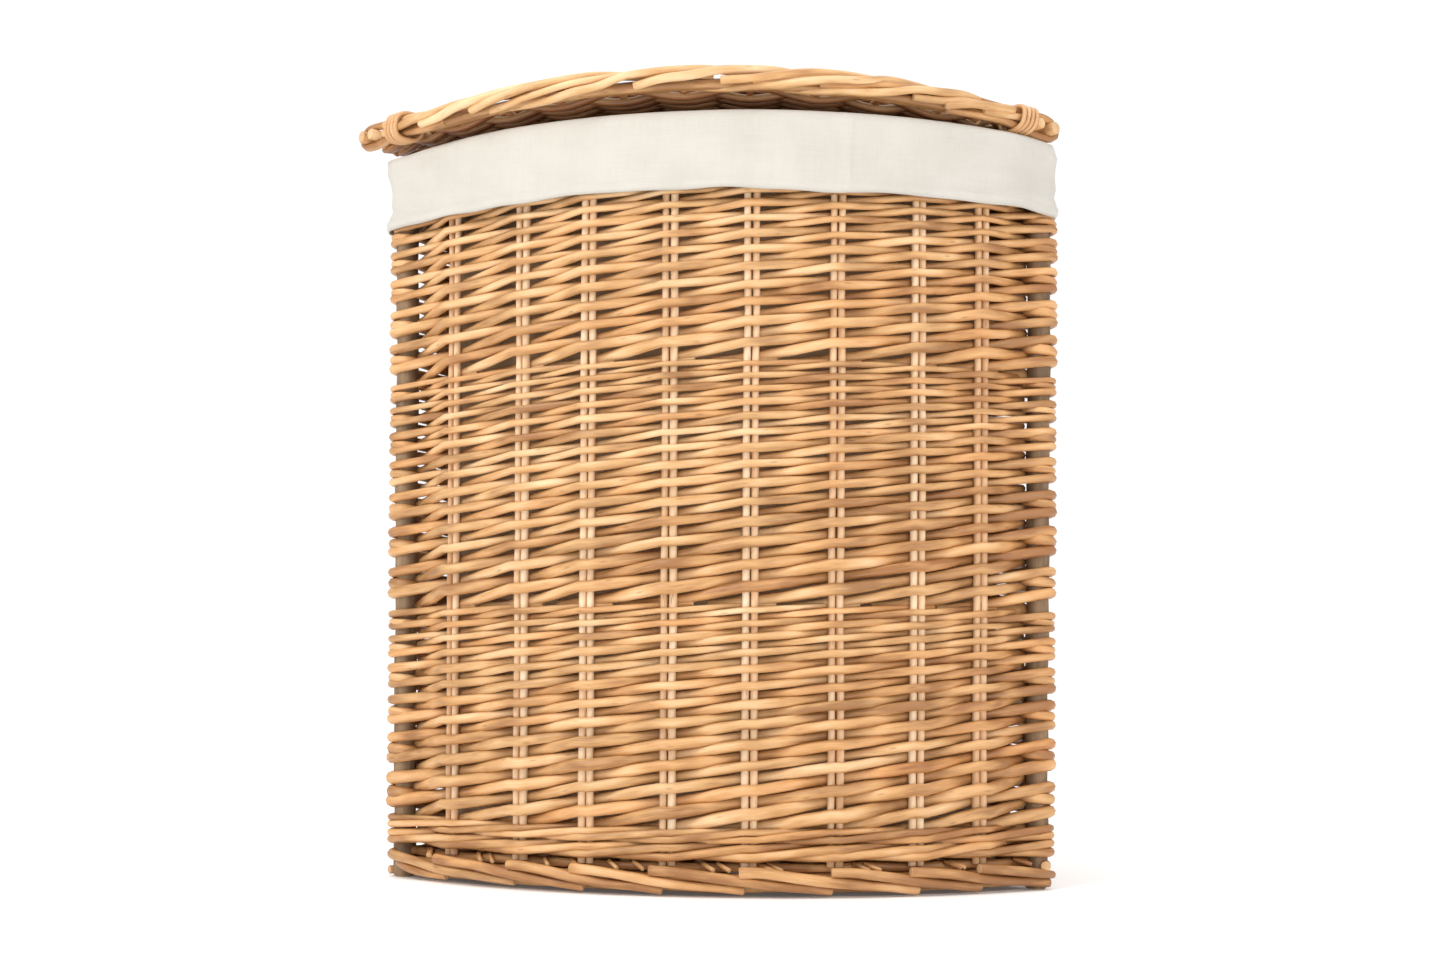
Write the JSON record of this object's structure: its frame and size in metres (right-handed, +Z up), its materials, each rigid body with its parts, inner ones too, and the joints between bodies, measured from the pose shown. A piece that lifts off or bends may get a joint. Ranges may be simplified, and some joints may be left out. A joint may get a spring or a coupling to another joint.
{
  "type": "laundry basket woven",
  "caption": "Woven willow corner laundry basket with a curved front, two straight sides at a right angle, a folded cotton lining and a hinged woven lid.",
  "frame": {"origin": "middle of the footprint of the closed basket, at floor level", "axes": "+Z up, the curved front faces -Y, the right-angled corner is at the back, +X is the viewer's right"},
  "size_m": [0.5502, 0.388, 0.5902],
  "materials": {
    "willow": "steamed willow, smooth bark side, satin",
    "peeled_rod": "paler peeled willow, satin",
    "post_wood": "thick round willow post, matt",
    "inner_willow": "willow seen on the inside and underside, matt",
    "cotton": "unbleached plain-weave cotton"
  },
  "bodies": {
    "basket": {"wale_front": "willow", "weave_front_lower": "willow", "weave_front_middle": "willow", "weave_front_upper": "willow", "foot_border_front": "willow", "top_border_front": "willow", "wale_left": "willow", "weave_left_lower": "willow", "weave_left_middle": "willow", "weave_left_upper": "willow", "foot_border_left": "willow", "top_border_left": "willow", "wale_right": "willow", "weave_right_lower": "willow", "weave_right_middle": "willow", "weave_right_upper": "willow", "foot_border_right": "willow", "top_border_right": "willow", "stake_pair_front_1": "peeled_rod", "stake_pair_front_2": "peeled_rod", "stake_pair_front_3": "peeled_rod", "stake_pair_front_4": "peeled_rod", "stake_pair_front_5": "peeled_rod", "stake_pair_front_6": "peeled_rod", "stake_pair_front_7": "peeled_rod", "stake_pair_front_8": "peeled_rod", "stake_pair_left_1": "peeled_rod", "stake_pair_left_2": "peeled_rod", "stake_pair_left_3": "peeled_rod", "stake_pair_left_4": "peeled_rod", "stake_pair_right_1": "peeled_rod", "stake_pair_right_2": "peeled_rod", "stake_pair_right_3": "peeled_rod", "stake_pair_right_4": "peeled_rod", "hinge_loop_front": "peeled_rod", "hinge_loop_back": "peeled_rod", "base_weave": "inner_willow", "base_stick_1": "inner_willow", "base_stick_2": "inner_willow", "base_stick_3": "inner_willow", "base_stick_4": "inner_willow", "lining_bag": "cotton", "lining_cuff": "cotton", "post_back": "post_wood", "post_front_left": "post_wood", "post_front_right": "post_wood"},
    "lid": {"lid_hinge_stick": "willow", "lid_left_stick": "willow", "lid_inner_stick_right": "willow", "lid_inner_stick_left": "willow", "lid_weave": "willow", "lid_front_border": "willow", "lid_fan_stick_1": "inner_willow", "lid_fan_stick_2": "inner_willow", "lid_fan_stick_3": "inner_willow", "lid_fan_stick_4": "inner_willow", "lid_fan_stick_5": "inner_willow", "lid_lashing_right": "peeled_rod", "lid_lashing_left": "peeled_rod"}
  },
  "joints": [
    {"name": "lid_hinge", "type": "hinge", "parent": "basket", "child": "lid", "pos_m": [0.1275, 0.05943, 0.566], "axis": [-0.7071, 0.7071, 0], "range_deg": [0, 100]}
  ]
}
